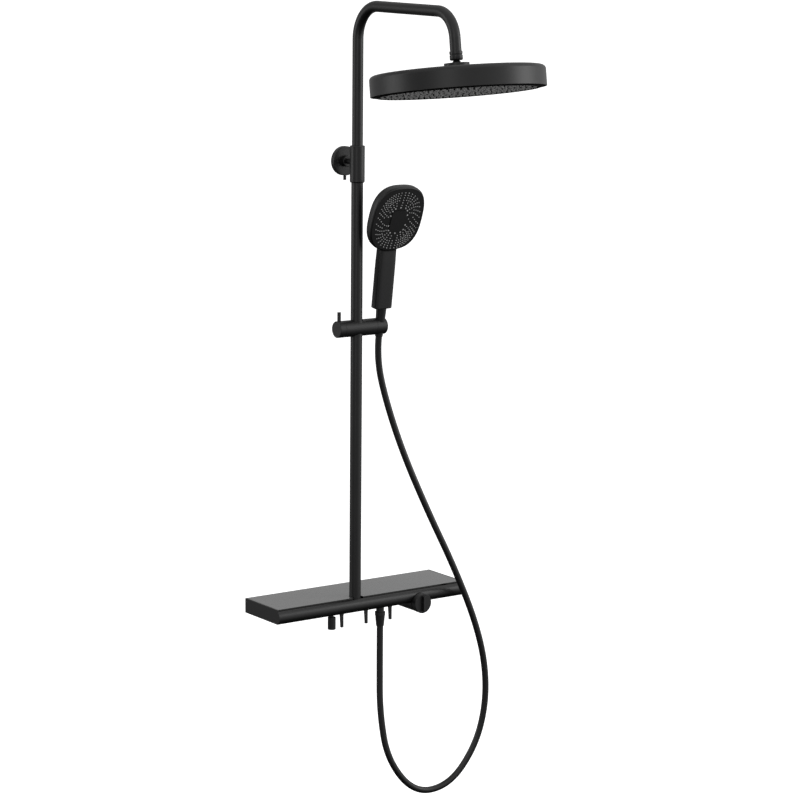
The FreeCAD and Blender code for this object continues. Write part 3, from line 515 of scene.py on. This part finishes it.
def make_hose_top_end(path):
    """The hose's top end inside the cone nut; it comes along when the handset is lifted."""
    points = [Vector(path[0])]
    run = 0.0
    for place in path[1:]:
        place = Vector(place)
        run += (place - points[-1]).length
        if run > TOP_END_LENGTH:
            break
        points.append(place)
    top_end = tube_along("hose_top_end", points, HOSE_DIAMETER / 2 - TOP_END_PLAY)
    finish_piece(top_end, "handset", materials["black_hose"])


def make_hose():
    """The whole hose as one smooth tube along its route, replacing the model's hose; its top end rides with the
    handset.
    """
    line = mesh_of(hose_spline(0.0), "hose_centre")
    path = [tuple(v.co) for v in line.vertices]
    bpy.data.meshes.remove(line)
    make_hose_top_end(path)
    tube = mesh_of(hose_spline(HOSE_DIAMETER / 2), "shower_hose_tube")
    hose = new_object("shower_hose_tube", tube)
    smooth_shaded(hose)
    hose.data.materials.clear()
    hose.data.materials.append(materials["black_hose"])
    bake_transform(hose)
    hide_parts("shower_hose")


# ---- nozzles, ball nut and handset body ---------------------------------------------
def add_tip(bm, matrix, radius, height, sides=8):
    """A soft conical nozzle tip standing on the matrix's XY plane."""
    profile = [(1.0, -0.3), (1.0, 0.15), (0.82, 0.75), (0.45, 1.0)]
    rings = []
    for scale, level in profile:
        reach = radius * scale
        rings.append([(reach * math.cos(t), reach * math.sin(t), height * level) for t in circle(sides)])
    loft(bm, rings, matrix)


def lathe(name, profile, matrix, sides):
    """Turns (radius, height) pairs about the matrix's Z axis into a closed ring."""
    bm = bmesh.new()
    rings = []
    for radius, height in profile:
        ring = []
        for turn in circle(sides):
            place = Vector((radius * math.cos(turn), radius * math.sin(turn), height))
            ring.append(bm.verts.new(matrix @ place))
        rings.append(ring)
    for low, high in zip(rings, rings[1:] + rings[:1]):
        for k in range(sides):
            n = (k + 1) % sides
            bm.faces.new((low[k], low[n], high[n], high[k]))
    piece = mesh_object(name, bm)
    piece.data.set_sharp_from_angle(angle=math.radians(32))
    return piece


def drop_frame():
    """Origin at the rain head's ball, Z down the drop pipe."""
    joint = joints["head_spin"]
    down = Vector(joint["axis"]).normalized()
    across = Vector((1, 0, 0))
    front = down.cross(across).normalized()
    frame_matrix = Matrix((across, front, down)).transposed().to_4x4()
    frame_matrix.translation = Vector(joint["pos_m"])
    return frame_matrix


def make_rain_head_details():
    """Rings of soft tips under the rain head, and the bead that frames them."""
    below_ball = FACE_PLATE_BELOW_BALL + RAIN_JETS_BELOW_PLATE
    under = drop_frame() @ Matrix.Translation((0, 0, below_ball))
    bm = bmesh.new()
    for ring in range(1, RAIN_RINGS + 1):
        radius = RAIN_FIELD_RADIUS * ring / RAIN_RINGS
        ring_turn = 0.4 * ring
        count = 5 * ring + 6
        for k in range(count):
            turn = 2 * math.pi * k / count + ring_turn
            place = Matrix.Translation((radius * math.cos(turn), radius * math.sin(turn), 0))
            add_tip(bm, under @ place, RAIN_JET_RADIUS, RAIN_JET_HEIGHT)
    tips = mesh_object("rain_nozzle_tips", bm)
    finish_piece(tips, "rain_head", materials["nozzle_silicone"])
    lip = lathe("rain_head_lip", RAIN_LIP, under, 160)
    finish_piece(lip, "rain_head", materials["spray_face"])


def make_arm_nut():
    """The ball nut: a ring, a groove and a rounded cap that holds the ball seat."""
    nut = lathe("ball_nut_body", BALL_NUT, drop_frame(), 64)
    finish_piece(nut, "arm", materials["satin_black_metal"])
    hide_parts("arm_socket_nut")


def make_handset_nozzles():
    """Rows that fan out from a rounded oblong to an oval; every third row has a large inner jet."""
    bm = bmesh.new()
    looking_out = turn_x(90)
    for row in range(SPRAY_ROWS):
        start = 2 * math.pi * (row + 0.5) / SPRAY_ROWS
        fan = 0.05 + 0.30 * math.cos(start) ** 2
        for step in range(SPRAY_STEPS):
            no_inner_jet = step == 0 and row % 3 != 1
            no_room = step in (1, 2) and row % 2 == 1
            if no_inner_jet or no_room:
                continue
            share = step / (SPRAY_STEPS - 1)
            half_width = SPRAY_INNER[0] + (SPRAY_OUTER[0] - SPRAY_INNER[0]) * share
            half_height = SPRAY_INNER[1] + (SPRAY_OUTER[1] - SPRAY_INNER[1]) * share
            squareness = 3.2 - share
            x, z = rounded(half_width, half_height, squareness, start - share * fan)
            radius = INNER_JET_RADIUS if step == 0 else JET_RADIUS
            place = Matrix.Translation((x, 0.0, z))
            add_tip(bm, FACE_FRAME @ place @ looking_out, radius, JET_HEIGHT)
    tips = mesh_object("handset_nozzle_tips", bm)
    finish_piece(tips, "handset", materials["nozzle_silicone"])


def head_form(bm, to_grip):
    """The head's outer form, from just behind the face back to a rounded back."""
    depths_and_scales = [
        (0.0006, 0.960),
        (0.0016, 0.982),
        (0.0040, 1.0),
        (0.0100, 1.0),
        (0.0160, 0.992),
        (0.0210, 0.965),
        (0.0255, 0.905),
        (0.0285, 0.80),
        (0.0300, 0.60),
        (0.0303, 0.30),
    ]
    rings = []
    for depth, scale in depths_and_scales:
        ring = []
        for turn in circle(96):
            x, z = rounded(FACE_HALF_WIDTH * scale, FACE_HALF_HEIGHT * scale, OUTLINE_SQUARENESS, turn)
            ring.append((x, depth, z + OUTLINE_RISE))
        rings.append(ring)
    loft(bm, rings, to_grip)


def grip_form(bm):
    """The flat-sided grip, from its chamfered foot up into the head."""
    heights_and_scales = [
        (CONE_TOP, 0.965),
        (CONE_TOP + 0.0012, 1.0),
        (GRIP_TOP - 0.02, 1.0),
        (GRIP_TOP + 0.024, 0.96),
    ]
    rings = []
    for height, scale in heights_and_scales:
        ring = []
        for turn in circle(64):
            x, y = rounded(GRIP_WIDTH / 2 * scale, GRIP_DEPTH / 2 * scale, GRIP_SQUARENESS, turn)
            ring.append((x, y, height))
        rings.append(ring)
    loft(bm, rings, Matrix.Identity(4))


def soften(obj, factor, iterations, group=""):
    smooth = obj.modifiers.new("soften", "SMOOTH")
    smooth.factor = factor
    smooth.iterations = iterations
    smooth.vertex_group = group


def make_handset_body():
    """Head and grip as one moulding: fused, then softened, most of all where they meet."""
    voxel = 0.0009
    reach = 0.046
    fade = 0.020
    to_grip = GRIP_FRAME.inverted() @ FACE_FRAME
    bm = bmesh.new()
    head_form(bm, to_grip)
    grip_form(bm)
    rough = mesh_object("handset_rough", bm)
    fuse = rough.modifiers.new("fuse", "REMESH")
    fuse.mode = "VOXEL"
    fuse.voxel_size = voxel
    fused = new_object("handset_fused", mesh_of(rough, "handset_fused"))
    junction = Vector((0, 0, GRIP_TOP + 0.004))
    near = fused.vertex_groups.new(name="junction")
    for vertex in fused.data.vertices:
        distance = (vertex.co - junction).length
        weight = max(0.0, min(1.0, (reach - distance) / fade))
        near.add([vertex.index], weight, "REPLACE")
    soften(fused, 0.6, 30, "junction")
    soften(fused, 0.5, 2)
    body = new_object("handset_body", mesh_of(fused, "handset_body"))
    body.vertex_groups.clear()
    body.data.transform(GRIP_FRAME)
    smooth_shaded(body)
    finish_piece(body, "handset", materials["black_head_plastic"])
    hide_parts("handset_shell")


dress_cad_nodes()
make_camera()
make_stage()
make_light()
make_hose()
make_rain_head_details()
make_arm_nut()
make_handset_body()
make_handset_nozzles()
